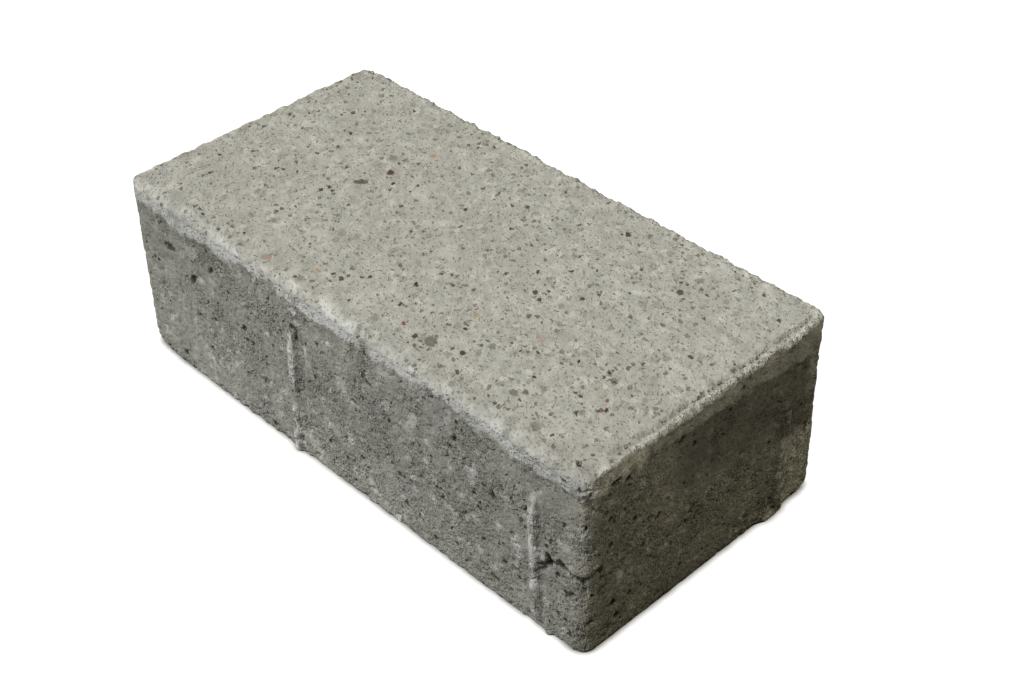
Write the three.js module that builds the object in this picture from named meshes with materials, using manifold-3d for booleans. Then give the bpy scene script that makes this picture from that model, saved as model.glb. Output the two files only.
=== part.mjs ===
// Rectangular concrete paving stone with spacer ribs, pressed in one piece.
// Millimetres, +Z up, origin at the centre of the bed face, X along the length.

import * as THREE from "three";
import { mergeVertices } from "three/addons/utils/BufferGeometryUtils.js";
import Module from "manifold-3d";

// ---- Driving dimensions ----------------------------------------------------

// Block from face to face, without the spacer ribs
const length = 198.5;
const width = 98.5;
const height = 64;

// Upright corners, where the mould box has a radius
const cornerRadius = 4.5;

// Worn arris round the wearing face, left by the rim of the tamper shoe
const arrisInset = 2.8; // in over the wearing face
const arrisDrop = 1.5; // down the side faces
const sharpestCorner = 0.4; // plan radius where the inset eats up the corner

// Small bevel round the bed face
const footBevel = 0.6;

// Fold in the concrete round the front right corner: a lip over a recess
const lapEdge = 28.8; // lower edge of the lip above the bed face
const lapProud = 1.3; // lip, out from the side faces
const lapRecess = 1.3; // in from the side faces, just under the lip
const lapRise = 11; // over which the lip runs out upwards
const lapFade = 14; // over which the recess runs out downwards
const lapLeftReach = 10; // along the front face from the corner's round
const lapRightReach = 6; // along the right end face

// Spacer ribs, which keep the joint open between two laid stones
const ribProud = 1.5; // out from the side face
const ribWidth = 4.2; // where it leaves the side face
const ribSetback = 13; // tip below the wearing face
const ribRunOut = 6; // length of the sloping tip
const sideRibInset = 19; // to the right-hand end of each half of a long face
const endRibInset = 15.5; // to the right-hand end of an end face

// Flash squeezed out at the foot of the rib on the right end face
const flashInset = 20; // to the right-hand end of the face
const flashReach = 5.5; // to each side
const flashHeight = 3.2;
const flashProud = 1.4;

// Smoothness of the round stretches
const cornerSteps = 12;
const arrisSteps = 8;
const ribSides = 48;
const flashSides = 24;
const lapSteps = 4;

// Surface of the dry, pressed concrete
const concreteColour = 0xb0b0a0;
const concreteRoughness = 0.95;

// ---- Geometry helpers ------------------------------------------------------

// Plan outline of the block, moved in from the side faces by an inset, and out
// by a push round the front right corner. Every outline has as many points, so
// that outlines can be joined ring to ring.
function planOutline(inset, push) {
  const radius = Math.max(cornerRadius - inset, sharpestCorner);
  const centreX = length / 2 - inset - radius;
  const centreY = width / 2 - inset - radius;
  const corners = [[1, 1], [-1, 1], [-1, -1], [1, -1]];
  const ring = corners.flatMap(([signX, signY], corner) => {
    const lapPush = corner === 3 ? push : 0;
    const arc = [];
    for (let step = 0; step <= cornerSteps; step++) {
      const angle = (corner + step / cornerSteps) * (Math.PI / 2);
      arc.push(new THREE.Vector2(
        signX * centreX + (radius + lapPush) * Math.cos(angle),
        signY * centreY + (radius + lapPush) * Math.sin(angle),
      ));
    }
    return arc;
  });
  // Points on both faces beside the corner, where the push dies out
  const frontY = -(centreY + radius);
  const rightX = centreX + radius;
  const beside = [];
  for (let step = lapSteps; step > 0; step--) {
    const part = step / lapSteps;
    const share = (1 + Math.cos(Math.PI * part)) / 2;
    beside.push([
      new THREE.Vector2(centreX - lapLeftReach * part, frontY - push * share),
      new THREE.Vector2(rightX + push * share, -centreY + lapRightReach * part),
    ]);
  }
  const frontCorner = ring.splice(3 * (cornerSteps + 1));
  return [
    ...ring,
    ...beside.map(([front]) => front),
    ...frontCorner,
    ...beside.map(([, right]) => right).reverse(),
  ];
}

// Triangles of a flat end.
function capRing(positions, triangles, ringStart, ringSize, facesDown) {
  const contour = [];
  for (let i = ringStart; i < ringStart + ringSize; i++) {
    contour.push(new THREE.Vector2(positions[3 * i], positions[3 * i + 1]));
  }
  for (const [a, b, c] of THREE.ShapeUtils.triangulateShape(contour, [])) {
    const corners = facesDown ? [a, c, b] : [a, b, c];
    triangles.push(...corners.map((corner) => ringStart + corner));
  }
}

// Closed geometry through a stack of plan outlines, each given by its height,
// its inset and its push at the lap.
function loftOutlines(sections) {
  const positions = [];
  const triangles = [];
  const ringSize = planOutline(0, 0).length;
  sections.forEach(({ z, inset = 0, push = 0 }, level) => {
    planOutline(inset, push).forEach((point) => positions.push(point.x, point.y, z));
    if (level === 0) return;
    const upper = level * ringSize;
    const lower = upper - ringSize;
    for (let i = 0; i < ringSize; i++) {
      const next = (i + 1) % ringSize;
      triangles.push(lower + i, lower + next, upper + next);
      triangles.push(lower + i, upper + next, upper + i);
    }
  });
  capRing(positions, triangles, 0, ringSize, true);
  capRing(positions, triangles, (sections.length - 1) * ringSize, ringSize, false);
  const geometry = new THREE.BufferGeometry();
  geometry.setAttribute("position", new THREE.Float32BufferAttribute(positions, 3));
  geometry.setIndex(triangles);
  return geometry;
}

const wasm = await Module();
wasm.setup();

// Manifold solid of a closed geometry. Triangles that shrink to a line when
// shared corners are merged, as at the poles of a turned shape, are left out.
function toSolid(geometry) {
  const bare = geometry.clone();
  bare.deleteAttribute("normal");
  bare.deleteAttribute("uv");
  const merged = mergeVertices(bare);
  const triangles = [];
  for (let i = 0; i < merged.index.count; i += 3) {
    const [a, b, c] = [0, 1, 2].map((corner) => merged.index.getX(i + corner));
    if (a !== b && b !== c && c !== a) triangles.push(a, b, c);
  }
  return new wasm.Manifold(new wasm.Mesh({
    numProp: 3,
    vertProperties: new Float32Array(merged.attributes.position.array),
    triVerts: new Uint32Array(triangles),
  }));
}

// Geometry of a Manifold solid.
function toGeometry(solid) {
  const mesh = solid.getMesh();
  const geometry = new THREE.BufferGeometry();
  geometry.setAttribute("position", new THREE.BufferAttribute(mesh.vertProperties, 3));
  geometry.setIndex(new THREE.BufferAttribute(mesh.triVerts, 1));
  geometry.computeVertexNormals();
  return geometry;
}

// ---- Block body ------------------------------------------------------------

// Bevel at the bed face, straight sides with the lap's recess and lip at one
// corner, then a quarter ellipse over the arris.
function blockBody() {
  const sections = [
    { z: 0, inset: footBevel },
    { z: footBevel },
    { z: lapEdge - lapFade },
    { z: lapEdge - 0.4 * lapFade, push: -0.5 * lapRecess },
    { z: lapEdge - 0.1, push: -lapRecess },
    { z: lapEdge, push: 0.5 * lapProud },
    { z: lapEdge + 0.1 * lapRise, push: lapProud },
    { z: lapEdge + 0.5 * lapRise, push: 0.5 * lapProud },
    { z: lapEdge + lapRise },
  ];
  for (let step = 0; step <= arrisSteps; step++) {
    const angle = (step / arrisSteps) * (Math.PI / 2);
    sections.push({
      inset: arrisInset * (1 - Math.cos(angle)),
      z: height - arrisDrop * (1 - Math.sin(angle)),
    });
  }
  return loftOutlines(sections);
}

// ---- Spacer ribs -----------------------------------------------------------

// A rib is the part of a round bar that stands out of the face: its width and
// height give the radius of the bar, and how deep the axis lies in the stone.
const barRadius = (ribWidth ** 2 / 4 + ribProud ** 2) / (2 * ribProud);
const axisDepth = barRadius - ribProud;

// Turned bar with its foot on the bed face and a cone on top, whose slope
// takes the rib back into the face over the run-out.
function ribBar() {
  const shoulder = height - ribSetback - ribRunOut;
  const coneHeight = ribRunOut * (barRadius / ribProud);
  const profile = [
    new THREE.Vector2(0, 0),
    new THREE.Vector2(barRadius, 0),
    new THREE.Vector2(barRadius, shoulder),
    new THREE.Vector2(0, shoulder + coneHeight),
  ];
  return new THREE.LatheGeometry(profile, ribSides).rotateX(Math.PI / 2);
}

// Bar axes: two on each long face and one on each end face, towards the right
// as one faces it, so that a stone turned half round has the same ribs.
function ribAxes() {
  const sideY = width / 2 - axisDepth;
  const endX = length / 2 - axisDepth;
  const halfTurn = [
    [length / 2 - sideRibInset, -sideY],
    [-sideRibInset, -sideY],
    [endX, width / 2 - endRibInset],
  ];
  return halfTurn.flatMap(([x, y]) => [[x, y], [-x, -y]]);
}

// Flash: the upper half of a flattened ball that stands on the bed plane.
function footFlash() {
  const ball = new THREE.SphereGeometry(1, flashSides, flashSides / 2);
  ball.scale(flashProud, flashReach, flashHeight);
  ball.translate(length / 2, width / 2 - flashInset, 0);
  return toSolid(ball).trimByPlane([0, 0, 1], 0);
}

// ---- Paving stone ----------------------------------------------------------

function pavingStone() {
  let stone = toSolid(blockBody()).add(footFlash());
  for (const [x, y] of ribAxes()) {
    stone = stone.add(toSolid(ribBar().translate(x, y, 0)));
  }
  const concrete = new THREE.MeshStandardMaterial({
    color: concreteColour,
    roughness: concreteRoughness,
    metalness: 0,
  });
  const mesh = new THREE.Mesh(toGeometry(stone), concrete);
  mesh.name = "paving_stone";
  return mesh;
}

const group = new THREE.Group();
group.add(pavingStone());

export default group;
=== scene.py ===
"""Finished look of a rectangular concrete paving stone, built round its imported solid.

The stone is one closed mesh: a rounded block on a fine lattice, pushed out and in by
its spacer ribs, worn arris, pores and a folded lap, then thinned to a working number
of triangles. Its concrete is procedural, laid out by fields stored on the points.
"""

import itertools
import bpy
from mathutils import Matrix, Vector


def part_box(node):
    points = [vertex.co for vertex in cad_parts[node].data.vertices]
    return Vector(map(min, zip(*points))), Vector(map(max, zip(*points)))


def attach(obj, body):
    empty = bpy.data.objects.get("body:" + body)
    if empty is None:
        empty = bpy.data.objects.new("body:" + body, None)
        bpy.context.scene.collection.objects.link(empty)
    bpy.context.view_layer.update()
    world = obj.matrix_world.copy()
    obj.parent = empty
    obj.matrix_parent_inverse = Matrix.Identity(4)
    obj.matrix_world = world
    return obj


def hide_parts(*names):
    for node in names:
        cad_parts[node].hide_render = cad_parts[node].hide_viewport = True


bl_info = {
    "name": "Concrete Paving Stone",
    "version": (1, 0, 0),
    "blender": (4, 5, 0),
    "location": "3D View > Sidebar > Paving Stone",
    "description": "Builds a pressed-concrete paving stone and its studio stage",
    "category": "Object",
}

from typing import NamedTuple

import bpy
import numpy as np
from bpy.props import FloatProperty, FloatVectorProperty, IntProperty, PointerProperty
from mathutils import Matrix, Vector

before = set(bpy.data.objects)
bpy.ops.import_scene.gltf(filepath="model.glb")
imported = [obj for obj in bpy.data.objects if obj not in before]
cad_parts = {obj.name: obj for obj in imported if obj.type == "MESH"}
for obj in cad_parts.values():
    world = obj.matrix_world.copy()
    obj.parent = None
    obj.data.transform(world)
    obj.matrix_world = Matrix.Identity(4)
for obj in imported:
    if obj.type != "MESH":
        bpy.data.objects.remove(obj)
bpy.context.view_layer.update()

NODE = "paving_stone"
BODY = "root"
MM = 0.001
HALF_LENGTH, HALF_WIDTH, HEIGHT = (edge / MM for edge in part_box(NODE)[1])

# Faces of the stone. The four side faces run round it against the clock, and a
# place along one is measured to the right as one looks at it from outside.
FRONT, RIGHT, BACK, LEFT, TOP = range(5)
RIGHTWARD = np.array([(1, 0), (0, 1), (-1, 0), (0, -1)])

# Upright corners, by the signs of their plan position.
FRONT_LEFT, FRONT_RIGHT, BACK_RIGHT = (-1, -1), (1, -1), (1, 1)


# ---- Settings --------------------------------------------------------------


class StoneShapeSettings(bpy.types.PropertyGroup):
    """Sizes of the stone's relief and of its mesh"""

    fine_pitch: FloatProperty(
        name="Fine Pitch",
        description="Distance between lattice points near the stone's edges",
        default=0.36 * MM,
        unit="LENGTH",
    )
    coarse_pitch: FloatProperty(
        name="Coarse Pitch",
        description="Distance between lattice points away from the edges",
        default=0.55 * MM,
        unit="LENGTH",
    )
    triangle_count: IntProperty(
        name="Triangles",
        description="Triangles left in the finished mesh",
        default=198000,
        min=20000,
        max=199000,
    )
    joint_gap: FloatProperty(
        name="Joint Gap",
        description="How far the spacer ribs may stand out of the side faces",
        default=1.5 * MM,
        unit="LENGTH",
    )
    corner_radius: FloatProperty(
        name="Corner Radius",
        description="Radius of the upright corners",
        default=4.5 * MM,
        unit="LENGTH",
    )
    roughness: FloatProperty(
        name="Roughness",
        description="Share of the full unevenness of the faces",
        default=1.0,
        min=0.0,
        max=2.0,
        subtype="FACTOR",
    )
    seed: IntProperty(
        name="Seed",
        description="Picks the pattern of pores and unevenness",
        default=11,
    )


class StoneColourSettings(bpy.types.PropertyGroup):
    """Colours of the dry concrete"""

    face_mix: FloatVectorProperty(
        name="Face Mix",
        description="Fine pale concrete of the wearing layer",
        default=(0.448, 0.448, 0.418),
        subtype="COLOR",
    )
    face_patch: FloatVectorProperty(
        name="Face Patches",
        description="Darker patches in the wearing layer",
        default=(0.352, 0.36, 0.342),
        subtype="COLOR",
    )
    backing: FloatVectorProperty(
        name="Backing",
        description="Coarser grey concrete under the wearing layer",
        default=(0.297, 0.293, 0.263),
        subtype="COLOR",
    )
    backing_patch: FloatVectorProperty(
        name="Backing Patches",
        description="Darker patches in the backing",
        default=(0.245, 0.242, 0.215),
        subtype="COLOR",
    )
    bloom: FloatVectorProperty(
        name="Bloom",
        description="White lime bloom along the arris",
        default=(0.59, 0.594, 0.582),
        subtype="COLOR",
    )


class StageSettings(bpy.types.PropertyGroup):
    """Camera, lamps and floor"""

    lens: FloatProperty(
        name="Lens",
        description="Focal length of the camera",
        default=60.553,
        unit="CAMERA",
    )
    camera_place: FloatVectorProperty(
        name="Camera Place",
        description="Where the camera stands",
        default=(311.12 * MM, -278.43 * MM, 356.57 * MM),
        subtype="TRANSLATION",
        unit="LENGTH",
    )
    key_level: FloatProperty(
        name="Key Level",
        description="Strength of the large soft lamp",
        default=3.2,
    )
    fill_level: FloatProperty(
        name="Fill Level",
        description="Strength of the weak warm lamp that grazes the right face",
        default=0.9,
    )
    even_level: FloatProperty(
        name="Even Level",
        description="Strength of the even light from all round",
        default=0.08,
    )


# ---- Smooth functions ------------------------------------------------------


def fade(low, high, value):
    """0 below low, 1 above high, with a soft step between them."""
    t = np.clip((value - low) / (high - low), 0.0, 1.0)
    return t * t * (3.0 - 2.0 * t)


def hump(centre, reach, value):
    """1 at the centre, falling softly to 0 at the reach on either side."""
    return 1.0 - fade(0.0, reach, np.abs(value - centre))


def profile(pairs, value):
    """Height over a line of places with their heights, straight between them."""
    places, heights = np.transpose(pairs)
    return np.interp(value, places, heights)


def plateau(start, full, falling, end, value):
    """0 before the start, 1 from full to falling, and 0 again from the end."""
    return fade(start, full, value) * (1.0 - fade(falling, end, value))


class Noise:
    """Repeatable smooth noise and scattered pits, from one seeded table."""

    CELLS = 256

    def __init__(self, seed):
        numbers = np.random.default_rng(seed)
        self.order = numbers.permutation(self.CELLS)
        slopes = numbers.normal(size=(self.CELLS, 3))
        self.slopes = slopes / np.linalg.norm(slopes, axis=1, keepdims=True)
        self.places = numbers.random((self.CELLS, 3))
        self.sizes = numbers.random(self.CELLS)
        self.chances = numbers.random(self.CELLS)

    def pick(self, cell):
        """Table row of each whole-number cell."""
        row = np.zeros(len(cell), np.int64)
        for column in cell.T:
            row = self.order[(row + column) & (self.CELLS - 1)]
        return row

    def smooth(self, points):
        """Gradient noise with cells of size 1, about -1 to 1."""
        base = np.floor(points).astype(np.int64)
        inside = points - base
        ease = inside**3 * (inside * (inside * 6.0 - 15.0) + 10.0)
        total = np.zeros(len(points))
        for corner in itertools.product((0, 1), repeat=3):
            weight = np.prod(np.where(corner, ease, 1.0 - ease), axis=1)
            slope = self.slopes[self.pick(base + corner)]
            total += weight * np.einsum("ij,ij->i", slope, inside - corner)
        return total * 1.6

    def layered(self, points, size, layers=2):
        """Noise of the given size with ever finer noise on top."""
        total = np.zeros(len(points))
        for layer in range(layers):
            finer = 2.0**layer
            total += self.smooth(points * (finer / size) + 17.3 * layer) / finer
        return total

    def pits(self, sheet, cell, radius, share):
        """Depth, 0 to 1, of round hollows on a flat sheet, one or none to each cell.

        The radius is under half a cell. The share of cells with a hollow is a
        number, or one number for each point.
        """
        scaled = sheet / cell
        base = np.floor(scaled).astype(np.int64)
        towards = np.where(scaled - base < 0.5, -1, 1)
        depth = np.zeros(len(sheet))
        for step in itertools.product((0, 1), repeat=2):
            near = base + towards * step
            row = self.pick(near)
            size = self.sizes[row]
            apart = np.linalg.norm(scaled - near - self.places[row, :2], axis=1) * cell
            part = apart / (radius * (0.4 + 0.6 * size))
            hollow = (1.0 - fade(0.3, 1.0, part)) * (0.5 + 0.5 * size)
            depth = np.maximum(depth, np.where(self.chances[row] < share, hollow, 0.0))
        return depth


# ---- Lattice block ---------------------------------------------------------


def even_lines(low, high, pitch):
    """Evenly spaced numbers from low to high, about the pitch apart."""
    return np.linspace(low, high, round((high - low) / pitch) + 1)


def graded_lines(low, high, fine, coarse, margin=6.0):
    """Numbers from low to high, closer together near both ends."""
    near = even_lines(low, low + margin, fine)
    middle = even_lines(low + margin, high - margin, coarse)
    far = even_lines(high - margin, high, fine)
    return np.concatenate([near, middle[1:-1], far])


class LatticeBlock:
    """Skin of a box lattice, in mm, with its upright corners rounded.

    Besides its plan position and height, every point knows its inset from the side
    faces, its nearest side face, and where it lies along that face.
    """

    def __init__(self, half_x, half_y, height, corner, fine, coarse):
        self.half = np.array([half_x, half_y])
        lines = [
            graded_lines(-half_x, half_x, fine, coarse),
            graded_lines(-half_y, half_y, fine, coarse),
            graded_lines(0.0, height, fine, coarse),
        ]
        self.read_skin(lines)
        self.round_corners(corner)

    def read_skin(self, lines):
        """Lists the four-sided faces of the skin and the points that they use."""
        nx, ny, nz = (len(line) for line in lines)
        faces = []
        for axis, (rows, columns) in enumerate(((ny, nz), (nx, nz), (nx, ny))):
            row, column = np.meshgrid(np.arange(rows - 1), np.arange(columns - 1), indexing="ij")
            for end in (0, len(lines[axis]) - 1):
                corners = []
                for down, across in ((0, 0), (1, 0), (1, 1), (0, 1)):
                    place = [row + down, column + across]
                    place.insert(axis, np.full_like(row, end))
                    corners.append(((place[0] * ny + place[1]) * nz + place[2]).ravel())
                # The corners run against the clock as seen from outside.
                outward = (end > 0) != (axis == 1)
                faces.append(np.stack(corners if outward else corners[::-1], 1))
        codes, numbers = np.unique(np.concatenate(faces), return_inverse=True)
        self.faces = numbers.reshape(-1, 4)
        ix, iy, iz = codes // (ny * nz), codes // nz % ny, codes % nz
        self.flat = np.stack([lines[0][ix], lines[1][iy]], 1)
        self.height = lines[2][iz]
        self.on_top = iz == nz - 1
        self.on_bed = iz == 0
        self.on_side = (ix == 0) | (ix == nx - 1) | (iy == 0) | (iy == ny - 1)

    def round_corners(self, radius):
        """Pulls the sharp plan corners in to their radius and reads the sides."""
        sign = np.where(self.flat < 0, -1.0, 1.0)
        past = np.abs(self.flat) - (self.half - radius)
        deepest = past.max(axis=1)
        length = np.maximum(np.linalg.norm(past, axis=1), 1e-9)
        in_corner = (past > 0).all(axis=1)[:, None]
        ends = past[:, 0] > past[:, 1]
        turned = self.half - radius + past * (deepest / length)[:, None]
        self.plan = np.where(in_corner, turned, np.abs(self.flat)) * sign
        straight = np.stack([ends, ~ends], 1).astype(float)
        self.outward = np.where(in_corner, past / length[:, None], straight) * sign
        self.inset = radius - deepest
        self.side = np.where(
            ends,
            np.where(sign[:, 0] > 0, RIGHT, LEFT),
            np.where(sign[:, 1] > 0, BACK, FRONT),
        )
        self.along = np.einsum("ij,ij->i", self.flat, RIGHTWARD[self.side])
        round_starts = np.array([0.0, 1.0, 2.0, -1.0]) * self.half.sum()
        self.round_stone = round_starts[self.side] + self.along
        self.end_share = fade(-3.0, 3.0, past[:, 0] - past[:, 1])
        self.long_side = np.where(sign[:, 1] > 0, BACK, FRONT)
        self.end_side = np.where(sign[:, 0] > 0, RIGHT, LEFT)

    def by_side(self, front, right, back, left):
        """One of four values for each point by its side, blended at the corners."""
        values = np.array((front, right, back, left), float)
        on_long, on_end = values[self.long_side], values[self.end_side]
        return on_long * (1.0 - self.end_share) + on_end * self.end_share

    def from_corner(self, corner):
        """Plan distance of each point from an upright corner."""
        return np.linalg.norm(self.plan - self.half * corner, axis=1)

    def near_corner(self, corner, reach):
        """1 at an upright corner, falling off round it."""
        return np.exp(-((self.from_corner(corner) / reach) ** 2))


# ---- Features of the stone, mm ---------------------------------------------


class Rib(NamedTuple):
    """Spacer rib on a side face, with the reach of its left and right flank.

    It leans sideways with height, and a broken foot fades out at the bed.
    """

    face: int
    along: float
    tip: float
    proud: float
    left: float
    right: float
    lean: float = 0.0
    foot: float = 0.0


class Flash(NamedTuple):
    """Thin flash squeezed out at the foot of a face."""

    face: int
    along: float
    reach: float
    height: float
    proud: float
    darkness: float


class Hollow(NamedTuple):
    """Larger pore, chip or dent in a face, turned against the clock in degrees."""

    along: float
    up: float
    half_width: float
    half_height: float
    depth: float
    turn: float = 0.0


RIBS = (
    Rib(FRONT, -21.2, 51.0, 1.1, 3.6, 2.0, 0.035),
    Rib(FRONT, 81.6, 52.5, 1.35, 3.0, 2.4, -0.02, 5.0),
    Rib(RIGHT, 32.9, 49.0, 1.3, 3.6, 3.0),
    Rib(BACK, 80.3, 51.0, 1.5, 2.6, 2.6),
    Rib(BACK, -19.0, 51.0, 1.3, 2.8, 2.4),
    Rib(LEFT, 33.7, 50.0, 1.4, 2.6, 2.6),
)
RIB_RUN_OUT = 6.0  # length of the sloping tip

# Furrow down the right flank of the first rib, darkened with painted shade: place and reach.
FURROW = (-17.2, 2.0)

FLASHES = (
    Flash(RIGHT, 29.3, 6.5, 3.5, 1.5, 0.1),
    Flash(FRONT, 86.2, 1.6, 1.2, 1.1, 0.7),
)

# Each row holds a Hollow; a place along the wearing face runs with the length.
HOLLOWS = {
    FRONT: (
        (-69.6, 39.6, 1.2, 2.6, 1.3, -20), (-58.9, 48.5, 0.8, 2.0, 0.9, -35),
        (-76.6, 30.8, 0.9, 0.9, 0.9), (-59.6, 29.3, 0.9, 0.9, 0.9),
        (-44.6, 34.2, 0.9, 1.6, 0.9, -30), (-40.6, 30.3, 0.8, 1.2, 0.8, -30),
        (-79.9, 47.0, 3.6, 1.6, 0.7, 14), (-80.1, 4.9, 1.6, 1.2, 0.8, 30),
        (-36.7, 17.9, 0.7, 1.9, 1.0, -5), (-34.1, 2.4, 1.6, 1.2, 0.9),
        (-18.8, 49.0, 2.0, 0.8, 1.0, -25), (-17.3, 46.0, 0.6, 2.4, 0.9, 5),
        (-12.9, 2.9, 1.2, 0.9, 0.8), (4.5, 56.7, 1.0, 0.5, 0.7, -20), (5.4, 49.3, 0.7, 0.5, 0.7),
        (7.5, 36.0, 1.2, 1.0, 0.9, -30), (14.3, 47.1, 1.4, 0.8, 0.8, -30),
        (35.5, 37.2, 0.9, 0.7, 0.8), (48.2, 44.4, 1.2, 0.8, 0.9, -20),
        (28.0, 20.1, 0.9, 0.9, 0.8), (72.5, 40.3, 1.3, 0.8, 1.1, -40),
        (64.8, 38.1, 0.8, 2.2, 0.9), (77.4, 41.0, 0.8, 1.6, 1.1, -20),
        (78.0, 34.2, 0.8, 0.8, 0.9), (65.6, 6.1, 1.2, 1.2, 0.8), (80.8, 23.8, 2.0, 0.7, 1.5, -5),
        (86.2, 30.2, 0.9, 1.4, 1.2, -20), (88.0, 29.6, 1.2, 0.9, 1.3, -20),
        (93.4, 30.0, 0.9, 1.5, 1.6, -35), (84.0, 24.6, 1.2, 0.7, 0.9),
        (86.4, 26.6, 0.9, 0.7, 0.9), (89.2, 27.6, 0.8, 0.8, 0.9), (89.0, 24.6, 1.5, 0.7, 1.0),
        (86.8, 35.6, 0.9, 0.8, 0.9), (85.0, 35.6, 0.8, 0.5, 0.7), (87.6, 36.8, 0.9, 0.5, 0.7),
        (94.2, 20.8, 1.4, 0.7, 0.9, 15), (86.0, 41.4, 1.3, 0.5, 0.9, 10),
        (91.6, 45.2, 1.0, 0.8, 0.9), (91.6, 60.4, 1.5, 0.6, 1.0, 5), (91.9, 56.9, 1.0, 0.8, 0.9),
        (94.2, 21.1, 1.5, 1.0, 0.8, 30), (79.5, 3.0, 1.4, 1.0, 1.1),
    ),
    RIGHT: (
        (-43.5, 30.9, 1.7, 0.7, 1.2, 10), (-41.3, 22.8, 1.2, 0.5, 0.8, 20),
        (-43.1, 21.4, 1.0, 0.7, 0.9, 30), (-45.6, 21.4, 1.1, 0.6, 0.9, 10),
        (-39.1, 36.4, 0.7, 1.0, 0.8), (-12.4, 55.4, 1.8, 1.1, 1.8, 25),
        (-7.0, 51.2, 1.2, 0.7, 1.1, 40), (-33.0, 55.8, 1.6, 0.9, 1.2, 30),
        (-37.6, 57.6, 2.0, 0.9, 1.2, 20), (-39.8, 45.6, 0.9, 1.6, 0.9),
        (-20.5, 33.9, 1.0, 1.5, 1.5, -25), (-8.8, 23.9, 0.8, 0.9, 0.9),
        (-15.8, 23.0, 2.0, 0.6, 0.8, 35), (-37.3, 12.5, 1.9, 1.7, 2.0, 10),
        (-35.9, 6.7, 1.3, 1.0, 1.2), (-31.4, 12.3, 1.2, 1.0, 1.1),
        (-46.2, 11.4, 1.3, 0.8, 1.0, 20), (43.5, 27.0, 0.8, 3.0, 0.7, -20),
    ),
    TOP: (
        (91.7, -44.5, 1.6, 0.9, 1.1, -30), (60.2, -43.1, 1.0, 0.7, 0.6),
        (45.5, -22.1, 0.8, 0.6, 0.5), (76.6, -14.6, 0.8, 0.6, 0.5), (81.4, -26.6, 0.9, 0.6, 0.7),
    ),
}

# Lower edge of the face mix, by side: places along the face with its height.
FACE_MIX_EDGE = {
    FRONT: (
        (-99.0, 58.0), (-74.0, 56.8), (-55.0, 56.8), (-47.0, 59.0), (-40.0, 59.8), (-26.0, 58.6),
        (-14.0, 57.4), (10.0, 58.0), (26.0, 58.8), (38.0, 59.9), (47.0, 60.1), (55.0, 58.8),
        (63.0, 58.1), (78.0, 57.4), (99.0, 57.6),
    ),
    RIGHT: (
        (-49.0, 57.5), (-43.0, 56.7), (-40.0, 58.1), (-30.0, 58.6), (-22.0, 58.1), (-16.0, 57.4),
        (-3.5, 56.9), (2.0, 56.9), (8.0, 55.6), (16.0, 56.8), (29.0, 54.3), (40.5, 53.2),
        (49.0, 53.0),
    ),
}
PLAIN_MIX_EDGE = 57.2  # on the other two sides

# Lower lip of the folded lap round the front right corner: places to the right of
# the corner, or left of it if below 0, with its height.
LAP_LIP = (
    (-17.8, 25.2), (-16.0, 25.8), (-14.6, 26.6), (-13.2, 29.4), (-12.0, 31.0), (-8.8, 30.9),
    (-7.0, 32.0), (-5.8, 31.4), (-4.8, 30.9), (-3.4, 30.3), (-1.4, 30.1), (0.8, 29.9),
    (2.4, 30.5), (3.6, 31.5), (4.4, 32.1), (5.8, 31.9), (7.8, 30.7),
)
LAP_ENDS = (-18.5, -12.0, 4.5, 8.0)  # where it starts, is full, falls and ends
LAP_PROUD = 1.2  # lip, out from the face
LAP_CURL = 1.8  # height of the lip's round edge
LAP_DROOP = 0.5
LAP_RECESS = 1.1  # under the lip, in from the face
LAP_GROOVE = (-2.2, 1.2, 0.9)  # in the recess: height, half width and depth
LAP_TORN_FROM = -12.8  # left of which its crack is torn into pieces

# Raised rim of the wearing face and the tamper groove inside it: inset from the
# side faces and half width, and how far they stand up or go down.
RIM = (0.6, 1.9)
RIM_LIFT = 0.18
GROOVE = (2.7, 1.4)
GROOVE_DEPTH = 0.8

# Scattered pores: cell of the scatter and radius, and depth.
BIG_PORE, BIG_DEPTH = (5.6, 1.35), 1.1
SMALL_PORE, SMALL_DEPTH = (2.3, 0.95), 0.6
FINE_PORE, FINE_DEPTH = (3.0, 0.75), 0.4

# Radius of the foot, and what corners add to it: corner, reach and radius.
FOOT_RADIUS = 0.7
FOOT_CORNERS = ((FRONT_RIGHT, 16.0, 0.9), (BACK_RIGHT, 11.0, 3.6), (FRONT_LEFT, 11.0, 5.2))

# Broken foot of the front face beside its right rib: places with its depth.
FOOT_BREAK = (
    (76.5, 0.0), (78.5, 1.5), (81.0, 1.8), (83.5, 1.2), (85.2, 0.2), (88.0, 1.2), (91.0, 1.0),
    (95.0, 0.3),
)

# Damp area of the right face: where it starts, is full, falls and ends along the
# face, and the heights between which it fades out, lower towards the back.
DAMP_ALONG = (-20.0, -8.0, 40.0, 46.0)
DAMP_FOOT = (30.0, 42.0)
DAMP_SLOPE = -0.25

# Dry corner behind it: places between which it comes in, and heights between which
# it fades out.
DRY_ALONG = (33.0, 37.0)
DRY_TOP = (26.0, 31.0)

# Worn arris by side: inset over the wearing face and drop down the side.
ARRIS_INSET = (3.9, 1.0, 1.0, 1.7)
ARRIS_DROP = (2.3, 1.0, 0.6, 0.9)

# Colours that several grains share.
COAL = (0.0252, 0.0252, 0.0235)
BASALT = (0.06, 0.058, 0.045)
MID_BASALT = (0.05, 0.048, 0.038)
DARK_BASALT = (0.04, 0.038, 0.03)
QUARTZ = (0.554, 0.546, 0.487)
LIMESTONE = (0.462, 0.445, 0.386)
PALE_PATCH = (0.40, 0.397, 0.365)
DULL_PATCH = (0.36, 0.357, 0.32)

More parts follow.
